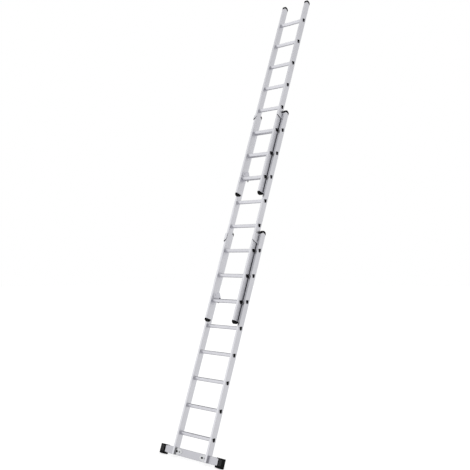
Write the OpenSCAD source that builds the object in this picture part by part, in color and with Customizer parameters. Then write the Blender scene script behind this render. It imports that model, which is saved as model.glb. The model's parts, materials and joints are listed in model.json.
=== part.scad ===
// Three-section extension ladder, standing at its working lean.
//
// Every piece is drawn in the ladder's straight frame: X runs across, Y runs back
// towards the wall and Z runs up the stiles from station 0. One shared transform,
// placed(), then leans the whole ladder so that the feet rest on the floor at Z = 0.
// Section 0 is the base, 1 the middle and 2 the top; each one lies in front of the
// section below it and between its stiles.

/* [Stance] */
// Lean of the stiles from the vertical, in degrees
lean = 20; // [15:1:25]
// Station where the stile's centre line meets the floor
floor_station = 38; // [36:1:40]

/* [Sections] */
// Distance from rung to rung
pitch = 280; // [260:5:300]
// Rungs in each section
rung_count = 8; // [6:1:9]
// Rungs that two neighbouring sections share when fully extended
overlap_rungs = 3; // [2:1:4]
// Outside width of the base section
base_width = 490; // [470:5:520]
// How much narrower each side of the next section is
side_step = 35; // [34:1:38]
// How far in front of each other the sections lie
section_gap = 56; // [55:0.5:58]

/* [Stiles] */
// Width of the stile's box section
stile_w = 26; // [24:1:27]
// Depth of the stile's box section
stile_d = 68; // [64:1:70]
// Wall of the stile
stile_wall = 1.6; // [1.2:0.1:2]
// Corner radius of the stile
stile_r = 2; // [2:0.5:4]
// Stile above and below the rungs, together
stile_extra = 115; // [110:1:130]
// Station of the base stiles' bottom ends
base_bottom = 60; // [58:1:62]
// How much shorter each next section's stiles are below its first rung
bottom_step = 21; // [12:1:22]
// Rise of the domed stile end over its corners
dome_rise = 20; // [12:1:24]

/* [Rungs] */
// Width of the tread
rung_w = 31; // [29:1:32]
// Height of the rung tube
rung_h = 35; // [33:1:36]
// Height of the tread over the rung's station line
tread_up = 16; // [15:0.5:17]
// Wall of the rung tube
rung_wall = 2; // [1.5:0.1:2.5]
// Width of the swaged collar round each stile hole
collar_w = 3; // [2:0.5:3.5]
// Thickness of the collar on the stile's face
collar_t = 2.5; // [2:0.5:3]

/* [Stabiliser] */
// Overall width over the feet
feet_width = 880; // [860:5:920]
// Height of the bar
bar_h = 75; // [70:1:78]
// Thickness of the bar
bar_t = 26; // [24:1:27]
// Wall of the bar
bar_wall = 2; // [1.5:0.1:3]
// Station of the bar's lower edge
bar_bottom = 58; // [57:1:60]

/* [Fittings] */
// Height of the black end caps over the stile tops
cap_t = 23; // [12:0.5:24]
// Thickness of the guide brackets' sheet
guide_t = 3; // [2:0.5:3.5]
// Thickness of the hook plates
hook_t = 4; // [3:0.5:4]
// How far a hook reaches behind the rung that carries it
hook_reach = 36; // [32:1:36]

/* [Hidden] */
$fn = 48;
SECTIONS = ["base", "middle", "top"];
SIDES = ["left", "right"];

fit_gap = 0.1;        // between pieces that are pressed or riveted together
running_gap = 0.05;   // radial play of a catch on its pin
side_gap = 0.4;       // between a catch and the plate beside it
over = 1;             // how far a cutting shape runs past a face
tangent_inset = 0.03; // keeps a flat just inside its arcs, so that the two cross cleanly

stile_len = rung_count * pitch + stile_extra;
hook_drop = section_gap * tan(lean);
section_rise = (rung_count - overlap_rungs) * pitch - hook_drop;
dome_r = (pow(stile_d / 2, 2) + pow(dome_rise, 2)) / (2 * dome_rise);
bar_top = bar_bottom + bar_h;
foot_x = feet_width / 2;

// Corner arcs of the rung's rounded triangle, as [across, up, radius]
tread_r = 4;
keel_r = 12;
rung_arcs = [
    [-(rung_w / 2 - tread_r), tread_up - tread_r, tread_r],
    [rung_w / 2 - tread_r, tread_up - tread_r, tread_r],
    [0, tread_up - rung_h + keel_r, keel_r]
];

function half(i) = base_width / 2 - i * side_step;
function inner(i) = half(i) - stile_w;
function depth(i) = -i * section_gap;
function station(i) = i * section_rise;
function bottom(i) = station(i) + base_bottom + i * bottom_step;
function top(i) = bottom(i) + stile_len;
function rung_at(i, k) = station(i) + k * pitch;
function sign_of(side) = side == "left" ? -1 : 1;

// ---- shared shapes -----------------------------------------------------------

// Leans the straight ladder and stands it on the floor
module placed() {
    rotate([-lean, 0, 0]) translate([0, 0, -floor_station]) children();
}

// Draws the right-hand piece, or its mirror image on the left
module on_side(side) {
    mirror([side == "left" ? 1 : 0, 0, 0]) children();
}

module both_sides() {
    for (side = SIDES) on_side(side) children();
}

// Rectangle with round corners, centred on the origin
module round_rect(w, d, r) {
    square([w - 2 * r, d], center = true);
    square([w, d - 2 * r], center = true);
    for (x = [-1, 1]) for (y = [-1, 1])
        translate([x * (w / 2 - r), y * (d / 2 - r)]) circle(r);
}

// Direction of the outward normal of the outer tangent from arc a to arc b
function tangent_angle(a, b) =
    let (dx = b[0] - a[0], dy = b[1] - a[1], d = norm([dx, dy]))
    atan2(dy, dx) + acos((a[2] - b[2]) / d);

function arc_point(a, grow, ang) =
    [a[0] + (a[2] + grow) * cos(ang), a[1] + (a[2] + grow) * sin(ang)];

// The rung's outline: three arcs joined by their tangents, grown by an offset
module rung_outline(grow) {
    order = [0, 1, 2];
    polygon([for (n = order)
        let (a = rung_arcs[n], b = rung_arcs[(n + 1) % 3], ang = tangent_angle(a, b))
        each [arc_point(a, grow - tangent_inset, ang), arc_point(b, grow - tangent_inset, ang)]]);
    for (a = rung_arcs) translate([a[0], a[1]]) circle(a[2] + grow);
}

// Turns a (Y, Z) outline into a slab from x0 to x1
module slab(x0, x1) {
    translate([x0, 0, 0]) rotate([90, 0, 90]) linear_extrude(x1 - x0) children();
}

// A rung-shaped slab of rung k, its tread turned level with the floor
module rung_slab(i, k, x0, x1, grow) {
    translate([0, depth(i), rung_at(i, k)]) rotate([lean, 0, 0])
        slab(x0, x1) rung_outline(grow);
}

// Box section along the stile, from station z0 to z1
module stile_bar(i, z0, z1, grow, r) {
    translate([half(i) - stile_w / 2, depth(i), z0])
        linear_extrude(z1 - z0)
            round_rect(stile_w + 2 * grow, stile_d + 2 * grow, r);
}

// Side view of a domed end: everything under an arc whose corners are at z
module dome_outline(i, z, len) {
    intersection() {
        translate([depth(i), z + dome_rise - dome_r]) circle(dome_r, $fn = 96);
        translate([depth(i) - stile_d, z - over]) square([2 * stile_d, 2 * dome_r]);
    }
    translate([depth(i) - stile_d, z - len]) square([2 * stile_d, len - over]);
}

module rivet(x, y, z, dir, r, h) {
    translate([x, y, z]) rotate([0, dir * 90, 0]) {
        cylinder(h = h * 0.6, r = r);
        translate([0, 0, h * 0.6]) cylinder(h = h * 0.4, r1 = r, r2 = r * 0.65);
    }
}

// ---- stiles ------------------------------------------------------------------

module stile(i, side) {
    color("silver") placed() on_side(side) difference() {
        intersection() {
            stile_bar(i, bottom(i), top(i) + dome_rise, 0, stile_r);
            slab(inner(i) - over, half(i) + over) dome_outline(i, top(i), stile_len + over);
        }
        stile_bar(i, bottom(i) - over, top(i) + dome_rise + over, -stile_wall,
                  stile_r - stile_wall);
        for (k = [1 : rung_count])
            rung_slab(i, k, inner(i) - over, half(i) + over, fit_gap);
        if (i == 0)
            translate([inner(i) - over, -bar_t / 2 - fit_gap, bottom(i) - over])
                cube([stile_w + 2 * over, bar_t + 2 * fit_gap,
                      bar_top - bottom(i) + over + fit_gap]);
    }
}

// ---- rungs -------------------------------------------------------------------

rib_w = 1.6;
rib_h = 1;
rib_step = 4.4;
rib_pairs = 2;

module rung(i, k) {
    end_x = half(i) + collar_t;
    rib_x = inner(i) - collar_t - 2;
    color("gainsboro") placed() {
        difference() {
            union() {
                rung_slab(i, k, -end_x, end_x, 0);
                for (side = SIDES) on_side(side) {
                    rung_slab(i, k, half(i), end_x, collar_w);
                    rung_slab(i, k, inner(i) - collar_t, inner(i), collar_w);
                }
            }
            rung_slab(i, k, -end_x - over, end_x + over, -rung_wall);
        }
        translate([0, depth(i), rung_at(i, k)]) rotate([lean, 0, 0])
            for (n = [-rib_pairs : rib_pairs])
                translate([-rib_x, n * rib_step - rib_w / 2, tread_up - 0.2])
                    cube([2 * rib_x, rib_w, rib_h + 0.2]);
    }
}

plug_len = 16;
plug_head = 1.6;
head_grow = 1.5;      // how far a plug's head reaches over the collar

// Plugs in the tube ends, each with a head that covers the tube's rim
module rung_plugs(i) {
    tube_end = half(i) + collar_t;
    color("black") placed() both_sides() for (k = [1 : rung_count]) {
        rung_slab(i, k, tube_end - plug_len, tube_end + over, -rung_wall - fit_gap);
        rung_slab(i, k, tube_end, tube_end + plug_head, head_grow);
    }
}

// ---- end caps ----------------------------------------------------------------

cap_grow = 0.4;
plug_in = 14;
end_drop = 12;        // how far a bottom cap stands below the stile at its edges
base_pad_t = 2;

// Black cap that follows the domed end, with a tongue inside the stile
module top_caps(i) {
    color("black") placed() both_sides() {
        difference() {
            intersection() {
                stile_bar(i, top(i) - over, top(i) + cap_t + dome_rise, cap_grow, stile_r);
                slab(inner(i) - over, half(i) + over) dome_outline(i, top(i) + cap_t, cap_t);
            }
            slab(inner(i) - over, half(i) + over) dome_outline(i, top(i), 2 * over);
        }
        intersection() {
            stile_bar(i, top(i) - plug_in, top(i) + dome_rise, -stile_wall - fit_gap,
                      stile_r - stile_wall);
            slab(inner(i) - over, half(i) + over) dome_outline(i, top(i), plug_in + over);
        }
    }
}

// Domed cap over a stile's bottom end; the base has two flat pads beside the bar
module bottom_caps(i) {
    color("black") placed() both_sides()
        if (i == 0) {
            for (y0 = [-stile_d / 2, bar_t / 2 + 1])
                translate([inner(i), y0, bottom(i) - base_pad_t])
                    cube([stile_w, stile_d / 2 - bar_t / 2 - 1, base_pad_t]);
        } else {
            translate([0, 0, 2 * bottom(i)]) mirror([0, 0, 1]) intersection() {
                stile_bar(i, bottom(i), bottom(i) + end_drop + dome_rise, cap_grow, stile_r);
                slab(inner(i) - over, half(i) + over)
                    dome_outline(i, bottom(i) + end_drop, end_drop + over);
            }
            stile_bar(i, bottom(i) - over, bottom(i) + plug_in, -stile_wall - fit_gap,
                      stile_r - stile_wall);
        }
}

// ---- stabiliser --------------------------------------------------------------

foot_wall = 6;
foot_len = 60;
foot_y = 20;
foot_top = bar_top + 3;
foot_edge = 43;       // station of the sole's front edge
heel_y = [4, 20];     // the stretch of the sole that lies flat on the floor
lip_len = 26;
bolt_x = [162, 199];
bolt_z = bar_bottom + bar_h / 2;
bolt_r = 4;
bolt_play = 0.5;
bracket_t = 2.5;
bolt_head = 5;

module bolt_holes() {
    for (x = bolt_x)
        translate([x, bar_t, bolt_z]) rotate([90, 0, 0])
            cylinder(h = 2 * bar_t, r = bolt_r + bolt_play);
}

module bar_slab(x0, x1, grow) {
    slab(x0, x1) translate([0, bolt_z])
        round_rect(bar_t + 2 * grow, bar_h + 2 * grow, 4 + grow);
}

module stabiliser_bar() {
    bar_end = foot_x - foot_wall - fit_gap;
    color("silver") placed() difference() {
        bar_slab(-bar_end, bar_end, 0);
        bar_slab(-bar_end - over, bar_end + over, -bar_wall);
        both_sides() bolt_holes();
    }
}

// Angle plate: one leg on the stile's inner face, the other bolted to the bar
module stabiliser_bracket(side) {
    tip = [142, bolt_z];
    tip_r = 17;
    z = [bar_bottom + 3, bar_top - 3];
    face_y = -bar_t / 2;
    color("lightgray") placed() on_side(side) {
        difference() {
            translate([0, face_y, 0]) rotate([90, 0, 0]) linear_extrude(bracket_t) {
                translate(tip) circle(tip_r);
                polygon([[inner(0), z[0]], [inner(0), z[1]], [inner(0) - 42, z[1]],
                         [tip[0] - 6, tip[1] + tip_r - 1], [tip[0] - 6, tip[1] - tip_r + 1],
                         [inner(0) - 42, z[0]]]);
            }
            bolt_holes();
        }
        translate([inner(0) - bracket_t, -stile_d / 2 + 4, z[0]])
            cube([bracket_t, stile_d / 2 - 4 + face_y - bracket_t / 2, z[1] - z[0]]);
    }
}

module stabiliser_bolts() {
    face_y = -bar_t / 2 - bracket_t;
    color("dimgray") placed() both_sides() for (x = bolt_x) translate([x, 0, bolt_z])
        rotate([-90, 0, 0]) {
            translate([0, 0, face_y - bolt_head]) cylinder(h = bolt_head, r = 7.5, $fn = 6);
            translate([0, 0, face_y - over]) cylinder(h = 2 * bar_t - 12, r = bolt_r);
            translate([0, 0, bar_t / 2]) cylinder(h = 1.6, r = 8.5);
            translate([0, 0, bar_t / 2 + 1.6]) cylinder(h = 6.5, r = 7.5, $fn = 6);
        }
}

function sole_z(y) = floor_station + y * tan(lean);

// Rubber boot over the end of the bar, with a heel that lies flat at the lean
module foot(side) {
    foot_in = foot_x - foot_len;
    rib_z = [for (n = [0 : 3]) bar_bottom + 13 + n * 15];
    color("#26262a") placed() on_side(side) {
        difference() {
            union() {
                slab(foot_in, foot_x) polygon([
                    [-foot_y, foot_edge], [-foot_y, foot_top - 4], [4 - foot_y, foot_top],
                    [foot_y - 4, foot_top], [foot_y, foot_top - 4],
                    [heel_y[1], sole_z(heel_y[1])], [heel_y[0], sole_z(heel_y[0])],
                    [heel_y[0] - 8, sole_z(heel_y[0]) - 0.2], [heel_y[0] - 16, foot_edge - 2.2]]);
                slab(foot_in - lip_len, foot_in) polygon([
                    [2 - foot_y, foot_edge + 1], [2 - foot_y, bar_bottom + 5],
                    [foot_y - 2, bar_bottom + 5], [foot_y - 2, sole_z(foot_y) + 0.5],
                    [heel_y[0], sole_z(heel_y[0]) + 0.8]]);
                translate([foot_in - lip_len, 2 - foot_y, bar_top - 5])
                    cube([lip_len, 2 * foot_y - 4, foot_top - bar_top + 5]);
            }
            bar_slab(foot_in - lip_len - over, foot_x - foot_wall, fit_gap);
            translate([foot_in + 6, -foot_y - over, bar_bottom + 4])
                cube([foot_len - 12, 2 + over, bar_h - 10]);
        }
        for (z = rib_z)
            translate([foot_in + 12, 0.6 - foot_y, z]) cube([foot_len - 24, 2, 4]);
    }
}

// ---- guides ------------------------------------------------------------------

// Lower and upper station of each guide bracket
guide_z = [[2306, 2426], [3748, 3826]];
guide_rivet_z = [[2316, 2418], [3759, 3816]];
guide_step = 18;      // drop of a guide's top edge in front, under the stile's cap
guide_wrap = 30;      // how far a guide's front leg reaches inwards
guide_slope = 26;     // rise of the front leg's lower edge towards its tip
guide_front = 36;     // front leg, in front of the guided stile's centre
guide_tail = 8;       // how far a guide runs behind its own stile's centre

// Sheet bracket that wraps the stile of the next section
module guide(i, side) {
    z = guide_z[i];
    x1 = inner(i);
    y_front = depth(i + 1) - guide_front;
    color("silver") placed() on_side(side) {
        slab(x1 - guide_t, x1) polygon([
            [y_front - guide_t, z[0] + guide_slope / 2], [y_front - guide_t, z[1] - guide_step],
            [depth(i) - stile_d / 2, z[1] - guide_step], [depth(i) - 20, z[1]],
            [depth(i) + guide_tail, z[1]], [depth(i) + guide_tail, z[0]],
            [depth(i) - stile_d / 2, z[0]]]);
        translate([0, y_front, 0]) rotate([90, 0, 0]) linear_extrude(guide_t)
            polygon([[x1, z[0] + guide_slope / 2], [x1, z[1] - guide_step],
                     [x1 - guide_wrap + 4, z[1] - guide_step],
                     [x1 - guide_wrap, z[1] - guide_step - 4],
                     [x1 - guide_wrap, z[0] + guide_slope / 2 + guide_slope]]);
    }
}

// ---- hooks and catches ---------------------------------------------------------

// A hook sits over the lower section's rung that lies level with rung 1 of its own
// section. Its outline and its catch are given about that rung's centre.
plate_grip = 0.6;     // play over the tread, measured square to it
mouth = [-21, 16];    // front and rear of the hook's mouth
catch_pin = [25, 26];
catch_toe = [6, -25]; // tip and underside of the catch, behind the rung's keel
pin_r = 3;
catch_t = 3;

function hook_y(i) = depth(i - 1);
function hook_z(i) = rung_at(i, 1) + hook_drop;

module hook_outline(i) {
    back = depth(i) - depth(i - 1);
    difference() {
        polygon([[back - 22, 6], [back - 22, 40], [back - 10, 62], [back + 26, 66],
                 [-12, 84], [4, 84], [10, 79], [hook_reach - 6, 48], [hook_reach, 38],
                 [hook_reach, 0], [hook_reach - 5, -7], [mouth[0], -7], [mouth[0], 6]]);
        translate([mouth[0], -60]) square([mouth[1] - mouth[0], 62]);
        intersection() {
            rotate([0, 0, lean]) translate([-40, -40])
                square([80, 40 + tread_up + rib_h + plate_grip]);
            translate([mouth[0], -60]) square([mouth[1] - mouth[0], 120]);
        }
    }
}

module hook(i, side) {
    x1 = inner(i);
    color("silver") placed() on_side(side) translate([0, hook_y(i), hook_z(i)])
        difference() {
            slab(x1 - hook_t, x1) hook_outline(i);
            translate([x1 - hook_t - over, catch_pin[0], catch_pin[1]]) rotate([0, 90, 0])
                cylinder(h = hook_t + 2 * over, r = pin_r + running_gap);
        }
}

// Sprung lever that closes the hook's mouth under the rung
module catch_lever(i, side) {
    x1 = inner(i) - hook_t - side_gap;
    arm = 4.5;
    color("#303034") placed() on_side(side) translate([0, hook_y(i), hook_z(i)]) {
        slab(x1 - catch_t, x1) {
            translate(catch_pin) circle(7);
            translate([catch_pin[0] - arm, catch_toe[1]])
                square([2 * arm, catch_pin[1] - catch_toe[1]]);
            translate([catch_toe[0] + 2, catch_toe[1]])
                square([catch_pin[0] + arm - catch_toe[0] - 2, 4]);
            translate([catch_toe[0] + 2, catch_toe[1] + 2]) circle(2);
        }
        translate([x1 - over, catch_pin[0], catch_pin[1]]) rotate([0, 90, 0])
            cylinder(h = hook_t + side_gap + over - 0.4, r = pin_r);
        translate([x1 - catch_t - 1.6, catch_pin[0], catch_pin[1]]) rotate([0, 90, 0])
            cylinder(h = 2, r = 4.8);
    }
}

// ---- rivets ------------------------------------------------------------------

head_r = 5.5;
head_h = 3;

// Heads of the rivets that hold the guides and the hooks to their stiles
module rivets(i) {
    color("dimgray") placed() both_sides() {
        if (i < 2) for (z = guide_rivet_z[i])
            rivet(inner(i) - guide_t, depth(i) - 10, z, -1, head_r, head_h);
        if (i > 0) for (p = [[-16, 18], [6, 44]])
            rivet(inner(i) - hook_t, depth(i) + p[0], hook_z(i) + p[1], -1, head_r, head_h);
        if (i == 0) for (z = [bolt_z - 22, bolt_z + 22])
            rivet(inner(i) - bracket_t, -24, z, -1, 4, 2.2);
    }
}

// ---- nodes -------------------------------------------------------------------

for (i = [0 : 2]) {
    for (side = SIDES)
        stile(i, side);
    for (k = [1 : rung_count])
        rung(i, k);
    rung_plugs(i);
    top_caps(i);
    bottom_caps(i);
    rivets(i);
}
for (side = SIDES) {
    stabiliser_bracket(side);
    foot(side);
    for (i = [0 : 1])
        guide(i, side);
    for (i = [1 : 2]) {
        hook(i, side);
        catch_lever(i, side);
    }
}
stabiliser_bar();
stabiliser_bolts();
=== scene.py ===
import json
import math

import bmesh
import bpy
from mathutils import Matrix, Vector


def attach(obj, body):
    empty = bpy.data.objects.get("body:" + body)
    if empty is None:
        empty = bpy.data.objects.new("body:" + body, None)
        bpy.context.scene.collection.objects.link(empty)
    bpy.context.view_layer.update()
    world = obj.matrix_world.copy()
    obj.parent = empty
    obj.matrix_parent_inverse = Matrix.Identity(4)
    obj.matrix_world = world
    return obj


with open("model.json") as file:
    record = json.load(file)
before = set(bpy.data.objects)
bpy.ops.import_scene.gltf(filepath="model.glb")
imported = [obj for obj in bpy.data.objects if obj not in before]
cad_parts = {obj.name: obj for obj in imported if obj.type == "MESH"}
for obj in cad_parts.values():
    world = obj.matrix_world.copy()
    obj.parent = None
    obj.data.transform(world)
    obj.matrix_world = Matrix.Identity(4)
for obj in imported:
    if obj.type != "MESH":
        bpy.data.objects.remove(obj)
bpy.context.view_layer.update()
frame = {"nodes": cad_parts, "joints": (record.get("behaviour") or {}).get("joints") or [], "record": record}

NODES = frame["nodes"]
MM = 0.001

# The ladder's own axes: across, back towards the wall, and up the stiles.
UP = Vector(next(j["axis"] for j in frame["joints"] if j["name"] == "middle_slide"))
ACROSS = Vector((1, 0, 0))
BACK = UP.cross(ACROSS)
LEAN = math.atan2(UP.y, UP.z)
LADDER = Matrix((ACROSS, BACK, UP)).transposed()
FLOOR_STATION = 0.038     # station where the stiles' centre plane meets the floor
STRAIGHT = LADDER.to_4x4() @ Matrix.Translation((0, 0, -FLOOR_STATION))


# ---- camera ----------------------------------------------------------------------

CAMERA_PLACE = (5.369, -5.014, 1.999)
CAMERA_AZIMUTH = 43.52    # degrees round from straight in front, towards +X
CAMERA_PITCH = 1.72       # degrees above the horizon
CAMERA_LENS = 56.73       # mm, on a 36 mm wide sensor
CAMERA_REACH = 500        # far clipping distance, past the backdrop


def add_camera():
    data = bpy.data.cameras.new("camera")
    data.lens = CAMERA_LENS
    data.sensor_width = 36
    data.clip_end = CAMERA_REACH
    camera = bpy.data.objects.new("camera", data)
    camera.location = CAMERA_PLACE
    camera.rotation_euler = (math.radians(90 + CAMERA_PITCH), 0, math.radians(CAMERA_AZIMUTH))
    bpy.context.collection.objects.link(camera)
    bpy.context.scene.camera = camera


# ---- shader helpers ----------------------------------------------------------------

class Shader:
    """Builds one Principled material, node by node."""

    def __init__(self, name):
        self.material = bpy.data.materials.new(name)
        self.material.use_nodes = True
        self.tree = self.material.node_tree
        self.bsdf = self.tree.nodes["Principled BSDF"]

    def node(self, kind, **values):
        made = self.tree.nodes.new(kind)
        for key, value in values.items():
            setattr(made, key, value)
        return made

    def link(self, source, target):
        self.tree.links.new(source, target)

    def set(self, **values):
        """Sets the shader's own sockets; an underscore stands for a space."""
        for key, value in values.items():
            self.bsdf.inputs[key.replace("_", " ")].default_value = value

    def coordinates(self, stretch):
        """Object coordinates turned into the ladder's axes and scaled by stretch."""
        source = self.node("ShaderNodeTexCoord")
        turn = self.node("ShaderNodeMapping")
        turn.inputs["Rotation"].default_value = (LEAN, 0, 0)
        scale = self.node("ShaderNodeMapping")
        scale.inputs["Scale"].default_value = stretch
        self.link(source.outputs["Object"], turn.inputs["Vector"])
        self.link(turn.outputs["Vector"], scale.inputs["Vector"])
        return scale.outputs["Vector"]

    def noise(self, stretch, detail=3.0, roughness=0.55):
        made = self.node("ShaderNodeTexNoise")
        made.inputs["Scale"].default_value = 1.0
        made.inputs["Detail"].default_value = detail
        made.inputs["Roughness"].default_value = roughness
        self.link(self.coordinates(stretch), made.inputs["Vector"])
        return made.outputs["Fac"]

    def spread(self, source, low, high, start=0.3, end=0.7):
        """Maps a factor between start and end on to the range low to high."""
        made = self.node("ShaderNodeMapRange")
        made.inputs["From Min"].default_value = start
        made.inputs["From Max"].default_value = end
        made.inputs["To Min"].default_value = low
        made.inputs["To Max"].default_value = high
        self.link(source, made.inputs["Value"])
        return made.outputs["Result"]

    def add(self, first, second):
        made = self.node("ShaderNodeMath", operation="ADD")
        self.link(first, made.inputs[0])
        self.link(second, made.inputs[1])
        return made.outputs["Value"]

    def ramp(self, source, stops):
        """A colour ramp through stops, each a place and a colour."""
        made = self.node("ShaderNodeValToRGB")
        elements = made.color_ramp.elements
        while len(elements) < len(stops):
            elements.new(0.5)
        for element, (place, colour) in zip(elements, stops):
            element.position = place
            element.color = (*colour, 1)
        self.link(source, made.inputs["Fac"])
        return made.outputs["Color"]

    def bump(self, height, strength, distance):
        made = self.node("ShaderNodeBump")
        made.inputs["Strength"].default_value = strength
        made.inputs["Distance"].default_value = distance
        self.link(height, made.inputs["Height"])
        self.link(made.outputs["Normal"], self.bsdf.inputs["Normal"])

    def base(self, colour):
        self.link(colour, self.bsdf.inputs["Base Color"])

    def rough(self, value):
        self.link(value, self.bsdf.inputs["Roughness"])


# ---- materials ---------------------------------------------------------------------

# How finely a pattern varies across and along the brushing, in waves per metre.
FINE = 1400.0
LONG = 5.0
CLOUD = 3.0
PATCH = 40.0
EVEN = 300.0              # grain of the small sheet parts, which have no streaks
SPARK = 1800.0            # grain of moulded plastic
RUBBER_GRAIN = 1200.0
COAT_GRAIN = 900.0
DUST = 25.0
CRYSTAL = 260.0
CRYSTAL_TONE = 60.0

STREAK_SHARE = 0.6        # share of the streaks in the metal's tone, against the clouds
CRYSTAL_SHARE = 0.4       # share of the crystals in the zinc's tone

# Rungs, measured along the stiles, then by height: from one to the next, of the first,
# and of a tread over its rung
RUNG_PITCH = 0.280
RUNG_STEP = RUNG_PITCH * math.cos(LEAN)
FIRST_RUNG = (RUNG_PITCH - FLOOR_STATION) * math.cos(LEAN)
TREAD_UP = 0.016
# Painted shade: the colour of each tread's top is darkened, standing in for the shade between its ribs.
TREAD_FADE = (0.0020, 0.0004)     # below a tread's top, where its painted shade starts and is full
TREAD_SHADE = 0.72


def brushed(name, colour, stretch, rough, contrast=0.05, scuffs=0.0, tread=False):
    """Drawn aluminium: streaks along one axis, cloudy tone and rubbed patches; with tread, painted shade on
    the treads' tops.
    """
    shader = Shader(name)
    shader.set(Metallic=1.0)
    streaks = shader.noise(stretch, detail=4.0)
    clouds = shader.noise((CLOUD, CLOUD, CLOUD), detail=2.0)
    mixed = shader.add(shader.spread(streaks, 0.0, STREAK_SHARE),
                       shader.spread(clouds, 0.0, 1 - STREAK_SHARE))
    dark = [c * (1 - contrast) for c in colour]
    light = [min(1.0, c * (1 + contrast)) for c in colour]
    tone = shader.ramp(mixed, [(0.15, dark), (0.85, light)])
    # with tread set, the rung colour gets painted shade on the tread tops
    shader.base(paint_tread_shade(shader, tone) if tread else tone)
    patches = shader.noise((PATCH, PATCH, PATCH / 4), detail=5.0, roughness=0.7)
    rubbed = shader.spread(patches, 0.0, scuffs, start=0.52, end=0.62)
    grain = shader.spread(streaks, rough - 0.05, rough + 0.07)
    shader.rough(shader.add(grain, rubbed))
    shader.bump(streaks, strength=0.25, distance=0.00015)
    return shader.material


def paint_tread_shade(shader, tone):
    """Paints shade on the tops of the ribbed treads, which lie at the same heights in every section."""
    source = shader.node("ShaderNodeTexCoord")
    split = shader.node("ShaderNodeSeparateXYZ")
    shader.link(source.outputs["Object"], split.inputs["Vector"])
    lift = shader.node("ShaderNodeMath", operation="ADD")
    lift.inputs[1].default_value = RUNG_STEP / 2 - FIRST_RUNG
    shader.link(split.outputs["Z"], lift.inputs[0])
    wrap = shader.node("ShaderNodeMath", operation="MODULO")
    wrap.inputs[1].default_value = RUNG_STEP
    shader.link(lift.outputs["Value"], wrap.inputs[0])
    top = RUNG_STEP / 2 + TREAD_UP
    start, end = (top - fade for fade in TREAD_FADE)
    scale = shader.node("ShaderNodeVectorMath", operation="SCALE")
    shader.link(tone, scale.inputs[0])
    shader.link(shader.spread(wrap.outputs["Value"], 1.0, TREAD_SHADE, start, end),
                scale.inputs["Scale"])
    return scale.outputs["Vector"]


def moulded(name, colour, rough, grain_size, grain_depth):
    """Moulded plastic or rubber with a fine spark-eroded grain and dusty tone."""
    shader = Shader(name)
    shader.set(Specular_IOR_Level=0.1)
    grain = shader.noise((grain_size,) * 3, detail=2.0)
    tone = shader.noise((DUST,) * 3, detail=4.0)
    paler = [c * 1.5 + 0.002 for c in colour]
    shader.base(shader.ramp(tone, [(0.35, colour), (0.75, paler)]))
    shader.rough(shader.add(shader.spread(grain, rough - 0.06, rough + 0.06),
                            shader.spread(tone, -0.04, 0.06)))
    shader.bump(grain, strength=0.5, distance=grain_depth)
    return shader.material


def plated(name, colour, rough):
    """Zinc-plated steel: small crystals of slightly different tone."""
    shader = Shader(name)
    shader.set(Metallic=1.0)
    cells = shader.node("ShaderNodeTexVoronoi")
    cells.inputs["Scale"].default_value = 1.0
    shader.link(shader.coordinates((CRYSTAL,) * 3), cells.inputs["Vector"])
    tone = shader.noise((CRYSTAL_TONE,) * 3, detail=4.0)
    mixed = shader.add(
        shader.spread(cells.outputs["Distance"], 0.0, CRYSTAL_SHARE, start=0.0, end=0.8),
        shader.spread(tone, 0.0, 1 - CRYSTAL_SHARE))
    dark = [c * 0.85 for c in colour]
    light = [min(1.0, c * 1.12) for c in colour]
    shader.base(shader.ramp(mixed, [(0.1, dark), (0.9, light)]))
    shader.rough(shader.spread(tone, rough - 0.08, rough + 0.1))
    shader.bump(tone, strength=0.2, distance=0.0001)
    return shader.material


def make_materials():
    up_stile = (FINE, FINE, LONG)
    along_rung = (LONG * 2, FINE, FINE)
    along_bar = (LONG, FINE, FINE)
    even = (EVEN, EVEN, EVEN)
    return {
        "stile": brushed("stile_aluminium", (0.80, 0.80, 0.838), up_stile, 0.41),
        "rung": brushed("rung_aluminium", (0.835, 0.835, 0.88), along_rung, 0.36,
                        scuffs=0.12, tread=True),
        # The bar's aluminium is darker than the stiles' as painted shade on the bar's front face.
        "stabiliser": brushed("bar_aluminium_painted_shade", (0.59, 0.59, 0.625), along_bar, 0.36),
        "guide": brushed("guide_aluminium", (0.78, 0.78, 0.815), even, 0.38),
        "hook": brushed("hook_aluminium", (0.74, 0.74, 0.79), even, 0.4),
        "bracket": plated("bracket_zinc", (0.66, 0.665, 0.68), 0.34),
        "fastener": plated("fastener_steel", (0.14, 0.14, 0.15), 0.36),
        "rivet": plated("rivet_aluminium", (0.62, 0.625, 0.64), 0.34),
        "spring": plated("spring_steel", (0.40, 0.40, 0.42), 0.25),
        "rung_plug": moulded("plug_plastic", (0.002, 0.002, 0.002), 0.55, SPARK, 0.00008),
        "end_cap": moulded("cap_plastic", (0.002, 0.002, 0.002), 0.55, SPARK, 0.00008),
        "foot_rubber": moulded("foot_rubber", (0.003, 0.003, 0.0033), 0.62, RUBBER_GRAIN, 0.00015),
        "rib": moulded("rib_rubber", (0.065, 0.065, 0.0675), 0.7, RUBBER_GRAIN, 0.00015),
        # painted shade for the gap between overlapping sections
        "strip": moulded("gap_shade_black", (0.02, 0.02, 0.022), 0.5, SPARK, 0.00008),
        "catch": moulded("catch_coat", (0.05, 0.05, 0.055), 0.4, COAT_GRAIN, 0.00005),
    }


# Nodes that don't take their slot's own material
OTHER_LOOK = {"middle_rivets": "rivet", "top_rivets": "rivet"}

# Edge radius of each kind of CAD node
BEVELS = {
    "stile": 0.0004, "rung": 0.0006, "stabiliser": 0.0006, "guide": 0.0006,
    "hook": 0.0008, "bracket": 0.0006, "fastener": 0.0006, "rung_plug": 0.0008,
    "end_cap": 0.0012, "foot_rubber": 0.0015, "catch": 0.0005,
}
BEVEL_ANGLE = 40          # degrees; flatter edges, such as an arc's facets, stay as they are


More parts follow.
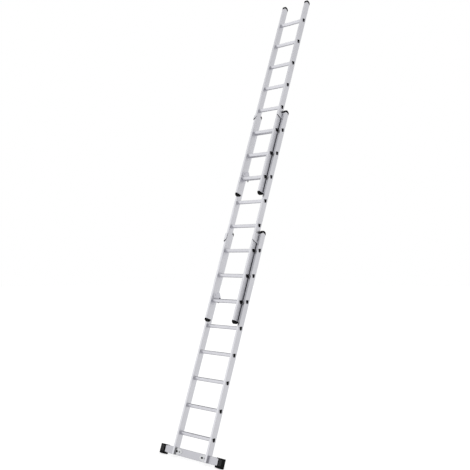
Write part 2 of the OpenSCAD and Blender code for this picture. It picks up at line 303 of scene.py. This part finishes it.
def dress_nodes(materials):
    """Gives every CAD node its material and softens its sharp edges."""
    slots = {row["node"]: row["material_slot"] for row in frame["record"]["subparts"]}
    for name, obj in NODES.items():
        slot = slots[name]
        obj.data.materials.clear()
        obj.data.materials.append(materials[OTHER_LOOK.get(name, slot)])
        bevel = obj.modifiers.new("edges", "BEVEL")
        bevel.width = BEVELS[slot]
        bevel.segments = 2
        bevel.limit_method = "ANGLE"
        bevel.angle_limit = math.radians(BEVEL_ANGLE)
        bevel.harden_normals = False


# ---- small pieces --------------------------------------------------------------------

# Lengths below are in millimetres in the ladder's straight frame: across, back towards
# the wall, and the station up the stile. They follow the CAD model's own dimensions.
IN_MM = Matrix.Diagonal((MM, MM, MM, 1))
AXIS_TURN = {"x": Matrix.Rotation(math.pi / 2, 4, "Y"), "y": Matrix.Rotation(math.pi / 2, 4, "X")}
SECTIONS = ("base", "middle", "top")
SIDES = (("left", -1), ("right", 1))
PITCH = RUNG_PITCH / MM
RUNG_COUNT = 8            # in each section
RUNGS_CLEAR = 5           # rungs of a section below the one that the next section hooks
BASE_HALF = 245           # half of the base section's width
SIDE_STEP = 35            # how much narrower each side of the next section is
SECTION_GAP = 56          # how far in front of each other the sections lie
STILE_W = 26
STILE_D = 68
STILE_EXTRA = 115         # stile above and below the rungs, together
BASE_BOTTOM = 60          # station of the base stiles' lower ends
BOTTOM_STEP = 21          # how much shorter the next stiles are below their first rung
HOOK_T = 4                # sheet of the hooks
GUIDE_T = 3               # sheet of the guides

STILE_LENGTH = RUNG_COUNT * PITCH + STILE_EXTRA
HOOK_DROP = SECTION_GAP * math.tan(LEAN)
HALF = tuple(BASE_HALF - SIDE_STEP * i for i in range(3))
DEPTH = tuple(-SECTION_GAP * i for i in range(3))
STATION = tuple(i * (RUNGS_CLEAR * PITCH - HOOK_DROP) for i in range(3))
BOTTOM = tuple(STATION[i] + BASE_BOTTOM + BOTTOM_STEP * i for i in range(3))


def add_piece(name, shape, body, material, edge=0.3):
    """Stands a bmesh drawn in the straight frame on the ladder and lets it ride."""
    shape.transform(STRAIGHT @ IN_MM)
    bmesh.ops.recalc_face_normals(shape, faces=shape.faces)
    mesh = bpy.data.meshes.new(name)
    shape.to_mesh(mesh)
    shape.free()
    mesh.materials.append(material)
    piece = bpy.data.objects.new(name, mesh)
    bpy.context.collection.objects.link(piece)
    if edge:
        bevel = piece.modifiers.new("edges", "BEVEL")
        bevel.width = edge * MM
        bevel.segments = 2
        bevel.limit_method = "ANGLE"
    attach(piece, body)


def disc(shape, axis, centre, radius, thickness, tip=None, sides=40):
    """A disc, or a truncated cone when tip gives its other radius."""
    bmesh.ops.create_cone(shape, cap_ends=True, segments=sides, radius1=radius,
                          radius2=radius if tip is None else tip, depth=thickness,
                          matrix=Matrix.Translation(centre) @ AXIS_TURN[axis])


def block(shape, low, high):
    """A box between two opposite corners."""
    middle = [(a + b) / 2 for a, b in zip(low, high)]
    size = [abs(b - a) for a, b in zip(low, high)]
    bmesh.ops.create_cube(shape, size=1,
                          matrix=Matrix.Translation(middle) @ Matrix.Diagonal((*size, 1)))


def prism(shape, outline, direction):
    """Sweeps a closed outline of points along a direction."""
    near = [shape.verts.new(Vector(point)) for point in outline]
    far = [shape.verts.new(Vector(point) + Vector(direction)) for point in outline]
    shape.faces.new(near)
    shape.faces.new(far[::-1])
    for n in range(len(outline)):
        m = (n + 1) % len(outline)
        shape.faces.new((near[n], near[m], far[m], far[n]))


def wire(shape, path, radius, sides=8):
    """A round wire along a path that never runs straight across the ladder."""
    rings = []
    for n, point in enumerate(path):
        ahead = (path[min(n + 1, len(path) - 1)] - path[max(n - 1, 0)]).normalized()
        out = ahead.cross(Vector((1, 0, 0.013))).normalized()
        over = ahead.cross(out)
        turns = [2 * math.pi * k / sides for k in range(sides)]
        rings.append([shape.verts.new(point + radius * (out * math.cos(t) + over * math.sin(t)))
                      for t in turns])
    for first, second in zip(rings, rings[1:]):
        for k in range(sides):
            m = (k + 1) % sides
            shape.faces.new((first[k], first[m], second[m], second[k]))
    shape.faces.new(rings[0][::-1])
    shape.faces.new(rings[-1])


def hooked_rung(i):
    """Station at which section i rests on a rung of the section below it."""
    return STATION[i] + PITCH + HOOK_DROP


CATCH_PIN = (25, 26)      # back and up from the hooked rung
CATCH_T = 3
CATCH_GAP = 0.4           # between a catch and its hook
PIN_R = 3
PIN_LENGTH = 7
PIN_HEAD_R = 5
PIN_HEAD_T = 1.6
PIN_HEAD_OFF = 0.3        # from the pin's end to the middle of its head
COIL_R = 5.5
COIL_OFF = 2.2            # from the catch's face to the first turn
COIL_STEPS = 60
STEPS_PER_TURN = 20
COIL_ADVANCE = 0.065      # sideways, for each step
SPRING_WIRE = 0.55
LEG_UP = 17
LEG_DOWN = 24
LEG_SPLAY = 0.3


def coil_path(face, sign, back, up):
    """The spring's wire: a leg up the hook, three turns and a leg down the catch."""
    path = [Vector((sign * (face - COIL_OFF), back - COIL_R, up + LEG_UP))]
    for n in range(COIL_STEPS + 1):
        turn = math.pi + n * 2 * math.pi / STEPS_PER_TURN
        path.append(Vector((sign * (face - COIL_OFF - n * COIL_ADVANCE),
                            back + COIL_R * math.cos(turn), up - COIL_R * math.sin(turn))))
    end = face - COIL_OFF - COIL_STEPS * COIL_ADVANCE
    path.append(Vector((sign * end, back - COIL_R + LEG_SPLAY, up - LEG_DOWN)))
    return path


def add_catch_springs(materials):
    """A headed pin and a torsion spring with two legs on each catch."""
    for i in (1, 2):
        back, up = DEPTH[i - 1] + CATCH_PIN[0], hooked_rung(i) + CATCH_PIN[1]
        for side, sign in SIDES:
            face = HALF[i] - STILE_W - HOOK_T - CATCH_GAP - CATCH_T
            tag = f"{SECTIONS[i]}_{side}"
            body = f"{SECTIONS[i]}_catch_{side}"
            pin = bmesh.new()
            middle, head = face - PIN_LENGTH / 2, face - PIN_LENGTH - PIN_HEAD_OFF
            disc(pin, "x", (sign * middle, back, up), PIN_R, PIN_LENGTH)
            disc(pin, "x", (sign * head, back, up), PIN_HEAD_R, PIN_HEAD_T, sides=24)
            add_piece(f"catch_pin_{tag}", pin, body, materials["fastener"])
            spring = bmesh.new()
            wire(spring, coil_path(face, sign, back, up), SPRING_WIRE)
            add_piece(f"catch_spring_{tag}", spring, body, materials["spring"], edge=0)


# Stations of the guides' rivets, and the hooks' rivets as back from the centre plane of
# their own stile and up from the hooked rung
GUIDE_RIVETS = ((2316, 2418), (3759, 3816))
GUIDE_RIVET_BACK = -10
HOOK_RIVETS = ((-16, 18), (6, 44))
RING_R = 6.6
RING_T = 0.5


def add_rivet_rings(materials):
    """Flattened rims round the rivets of the guides and hooks."""
    for i, section in enumerate(SECTIONS):
        rings = bmesh.new()
        spots = []
        if i < 2:
            spots += [(GUIDE_T, DEPTH[i] + GUIDE_RIVET_BACK, z) for z in GUIDE_RIVETS[i]]
        if i > 0:
            spots += [(HOOK_T, DEPTH[i] + y, hooked_rung(i) + z) for y, z in HOOK_RIVETS]
        for _, sign in SIDES:
            for sheet, back, up in spots:
                place = (sign * (HALF[i] - STILE_W - sheet - RING_T / 2), back, up)
                disc(rings, "x", place, RING_R, RING_T)
        add_piece(f"rivet_rings_{section}", rings, section,
                  materials["fastener" if i == 0 else "rivet"], edge=0.15)


BAR_BOTTOM = 58
BAR_MIDDLE = 95.5
BRACKET_FACE = -15.5      # front of the brackets, which are bolted to the bar
BOLT_X = (-199, -162, 162, 199)
WASHER_R = 10.5
WASHER_T = 1.4
HEAD_BOSS = -20.8         # middle of the low round boss on a bolt's head
HEAD_BOSS_T = 0.8
SHADE_CAP_BACK = -16.2        # where a black shade cap starts, on the washer's rim
SHADE_CAP_RIM = 4.4
SHADE_CAP_DOME = 1


def add_bolt_details(materials):
    """Washers and bosses on the four bolt heads, and black caps on two of them that paint the dark shade on
    those heads.
    """
    washers = bmesh.new()
    for x in BOLT_X:
        disc(washers, "y", (x, BRACKET_FACE - WASHER_T / 2, BAR_MIDDLE), WASHER_R, WASHER_T)
        disc(washers, "y", (x, HEAD_BOSS, BAR_MIDDLE), 5.2, HEAD_BOSS_T, tip=4.6)
    add_piece("bolt_washers", washers, "base", materials["rivet"])
    # Black caps on two of the heads: painted shade.
    shade_caps = bmesh.new()
    for x in BOLT_X[::2]:
        rim = (x, SHADE_CAP_BACK - SHADE_CAP_RIM / 2, BAR_MIDDLE)
        dome = (x, SHADE_CAP_BACK - SHADE_CAP_RIM - SHADE_CAP_DOME / 2, BAR_MIDDLE)
        disc(shade_caps, "y", rim, 9.4, SHADE_CAP_RIM, tip=10)
        disc(shade_caps, "y", dome, 6.5, SHADE_CAP_DOME, tip=9.4)
    add_piece("bolt_shade_caps", shade_caps, "base", materials["end_cap"])


GUIDE_Z = ((2306, 2426), (3748, 3826))    # lower and upper ends of the guides
GUIDE_FRONT = 36          # from the guided stile's centre plane to the guide's front leg
PAD_OFF = 0.2             # from the leg's inner face to the pad's
PAD_T = 1.6
PAD_W = 20
PAD_TALL = 40
PAD_SKEW = 17             # rise across the pad, along the leg's slanting end
SIDE_PAD_FACES = (-39, -34.6)     # from the lower stile's centre plane
SIDE_PAD_T = 0.8
SIDE_PAD_INSET = 24       # from each end of the guide


def add_guide_pads(materials):
    """Black pads behind each guide's front leg, painting the shadow under the leg's slanted lower edge, and
    black strips down its outer side.
    """
    for i in (0, 1):
        front = DEPTH[i + 1] - GUIDE_FRONT + PAD_OFF
        low = GUIDE_Z[i][0] + 3
        for side, sign in SIDES:
            edge = HALF[i] - STILE_W - GUIDE_T
            near, far = sign * edge, sign * (edge - PAD_W)
            pad = bmesh.new()
            # The front pad is painted shadow under the leg's slanted lower edge.
            outline = [(near, front, low), (near, front, low + PAD_TALL),
                       (far, front, low + PAD_TALL + PAD_SKEW), (far, front, low + PAD_SKEW)]
            prism(pad, outline, (0, PAD_T, 0))
            side_face = edge + GUIDE_T
            block(pad, (sign * side_face, DEPTH[i] + SIDE_PAD_FACES[0],
                        GUIDE_Z[i][0] + SIDE_PAD_INSET),
                  (sign * (side_face + SIDE_PAD_T), DEPTH[i] + SIDE_PAD_FACES[1],
                   GUIDE_Z[i][1] - SIDE_PAD_INSET))
            add_piece(f"guide_pad_{SECTIONS[i]}_{side}", pad, SECTIONS[i],
                      materials["end_cap"])


RIB_COUNT = 8
RIB_FIRST = BAR_BOTTOM + 8.5
RIB_STEP = 7.8
RIB_TALL = 3.6
RIB_ENDS = (390, 430)
RIB_FACES = (-19.6, -17.6)


def add_foot_details(materials):
    """Ribs, paler than the rubber, on the feet's front panels."""
    for side, sign in SIDES:
        ribs = bmesh.new()
        for n in range(RIB_COUNT):
            up = RIB_FIRST + n * RIB_STEP
            block(ribs, (sign * RIB_ENDS[0], RIB_FACES[0], up),
                  (sign * RIB_ENDS[1], RIB_FACES[1], up + RIB_TALL))
        add_piece(f"foot_ribs_{side}", ribs, "base", materials["rib"], edge=0.8)


LIP_OUT = 0.7             # how far a cap's lip stands out of the stile's faces
LIP_T = 1
LIP_ENDS = (1, 4)         # up from the stile's top corners


def add_cap_lips(materials):
    """The lip where each top cap meets its stile."""
    for i, section in enumerate(SECTIONS):
        lips = bmesh.new()
        low = BOTTOM[i] + STILE_LENGTH
        for _, sign in SIDES:
            inner, outer = sign * (HALF[i] - STILE_W - LIP_OUT), sign * (HALF[i] + LIP_OUT)
            for face in (-STILE_D / 2 - LIP_OUT, STILE_D / 2 + LIP_OUT - LIP_T):
                back = DEPTH[i] + face
                block(lips, (inner, back, low + LIP_ENDS[0]),
                      (outer, back + LIP_T, low + LIP_ENDS[1]))
        add_piece(f"cap_lips_{section}", lips, section, materials["end_cap"])


STRIP_BACK = (20, 32)     # its edges, behind the stile's centre plane
STRIP_T = 1.4
STRIP_START = 10          # up from the stile's lower end
STRIP_LENGTH = 955


def add_gap_shade_strips(materials):
    """Black strips on the rear of the upper sections' outer sides, painting the shade in the gap where each
    overlaps the section below.
    """
    for i in (1, 2):
        low = BOTTOM[i] + STRIP_START
        for side, sign in SIDES:
            strip = bmesh.new()
            # painted shade along the rear of the side, over the overlap with the section below
            block(strip, (sign * HALF[i], DEPTH[i] + STRIP_BACK[0], low),
                  (sign * (HALF[i] + STRIP_T), DEPTH[i] + STRIP_BACK[1], low + STRIP_LENGTH))
            add_piece(f"gap_shade_strip_{SECTIONS[i]}_{side}", strip, SECTIONS[i],
                      materials["strip"])


# Corners of a doubler plate, back and up from the section's first rung
DOUBLER = ((-28, 16), (-28, -34), (-21, -43), (14, -43), (24, -31), (24, 16))
DOUBLER_T = 2


def add_doubler_plates(materials):
    """Plates that stiffen the stile below each hook, around its first rung's collar."""
    for i in (1, 2):
        up = STATION[i] + PITCH
        for side, sign in SIDES:
            face = sign * (HALF[i] - STILE_W)
            plate = bmesh.new()
            prism(plate, [(face, DEPTH[i] + y, up + z) for y, z in DOUBLER],
                  (-sign * DOUBLER_T, 0, 0))
            add_piece(f"doubler_{SECTIONS[i]}_{side}", plate, SECTIONS[i],
                      materials["hook"], edge=0.5)


def add_small_pieces(materials):
    add_catch_springs(materials)
    add_rivet_rings(materials)
    add_bolt_details(materials)
    add_guide_pads(materials)
    add_foot_details(materials)
    add_cap_lips(materials)
    add_gap_shade_strips(materials)
    add_doubler_plates(materials)


# ---- light and floor ---------------------------------------------------------------

# Where the studio is brighter or darker: each lobe is centred on a direction in the
# camera's own horizontal frame (right, forward, up) and blends from its outer to its
# inner cosine towards its own brightness.
STUDIO_GLOW = 0.79
LOBES = (
    # direction              outer  inner  brightness
    ((0.0, 0.0, -1.0),       0.34,  0.80,  0.38),   # floor side
    ((-1.0, 0.0, -0.25),     0.80,  0.97,  0.88),   # low fill from the left
    ((-0.5, 0.3, 0.8),       0.80,  0.95,  0.55),   # dimmer ceiling
    ((-0.90, 0.05, 0.43),    0.90,  0.98,  1.12),   # big soft light, front left
    ((0.90, 0.05, 0.45),     0.94,  0.995, 0.64),   # dimmer high on the right
    ((0.0, -1.0, 0.0),       0.62,  0.90,  0.42),   # dark room behind the camera
    ((0.0, 1.0, 0.15),       0.72,  0.92,  0.54),   # dim studio wall behind the ladder
    ((0.0, 1.0, -0.02),      0.955, 0.99,  0.14),   # its dark foot, at eye level
)


def add_world():
    """A soft studio, dark on the camera's side and dim behind the ladder."""
    world = bpy.data.worlds.new("studio")
    world.use_nodes = True
    tree = world.node_tree
    background = tree.nodes["Background"]
    background.inputs["Color"].default_value = (1, 1, 1, 1)
    place = tree.nodes.new("ShaderNodeTexCoord")
    turn = Matrix.Rotation(math.radians(CAMERA_AZIMUTH), 3, "Z")
    level = tree.nodes.new("ShaderNodeValue")
    level.outputs[0].default_value = STUDIO_GLOW
    current = level.outputs[0]
    for direction, outer, inner, brightness in LOBES:
        facing = tree.nodes.new("ShaderNodeVectorMath")
        facing.operation = "DOT_PRODUCT"
        facing.inputs[1].default_value = turn @ Vector(direction).normalized()
        share = tree.nodes.new("ShaderNodeMapRange")
        share.interpolation_type = "SMOOTHSTEP"
        share.inputs["From Min"].default_value = outer
        share.inputs["From Max"].default_value = inner
        mix = tree.nodes.new("ShaderNodeMix")
        mix.inputs["B"].default_value = brightness
        tree.links.new(place.outputs["Generated"], facing.inputs[0])
        tree.links.new(facing.outputs["Value"], share.inputs["Value"])
        tree.links.new(share.outputs["Result"], mix.inputs["Factor"])
        tree.links.new(current, mix.inputs["A"])
        current = mix.outputs["Result"]
    tree.links.new(current, background.inputs["Strength"])
    bpy.context.scene.world = world


SURROUND = 45.0           # radius of the backdrop, and half of the floor's width
FLOOR_GLOW = 0.72         # keeps the floor as bright as the backdrop
FLOOR_TONE = (0.49, 0.51)


def add_stage_object(name, shape, shader):
    """Turns a bmesh into an object around the ladder, and returns it."""
    mesh = bpy.data.meshes.new(name)
    shape.to_mesh(mesh)
    shape.free()
    mesh.materials.append(shader.material)
    made = bpy.data.objects.new(name, mesh)
    bpy.context.collection.objects.link(made)
    return made


def add_backdrop():
    """A white surround that only the camera sees; the world alone lights the ladder."""
    shape = bmesh.new()
    bmesh.ops.create_uvsphere(shape, u_segments=48, v_segments=24, radius=SURROUND)
    shader = Shader("backdrop")
    shader.set(Base_Color=(0, 0, 0, 1), Specular_IOR_Level=0.0,
               Emission_Color=(1, 1, 1, 1), Emission_Strength=1.0)
    backdrop = add_stage_object("backdrop", shape, shader)
    backdrop.visible_diffuse = False
    backdrop.visible_glossy = False
    backdrop.visible_transmission = False
    backdrop.visible_shadow = False


def add_floor():
    """A glowing floor, left out of the ladder's reflections."""
    shape = bmesh.new()
    bmesh.ops.create_grid(shape, x_segments=1, y_segments=1, size=SURROUND)
    shader = Shader("floor")
    tone = shader.noise((0.6, 0.6, 0.6), detail=2.0)
    shader.base(shader.ramp(tone, [(0.2, (FLOOR_TONE[0],) * 3), (0.8, (FLOOR_TONE[1],) * 3)]))
    shader.set(Roughness=0.9, Emission_Color=(1, 1, 1, 1), Emission_Strength=FLOOR_GLOW)
    floor = add_stage_object("floor", shape, shader)
    floor.visible_glossy = False


# ---- build -------------------------------------------------------------------------

bpy.context.scene.view_settings.view_transform = "Standard"
add_camera()
add_world()
add_backdrop()
add_floor()
looks = make_materials()
dress_nodes(looks)
add_small_pieces(looks)
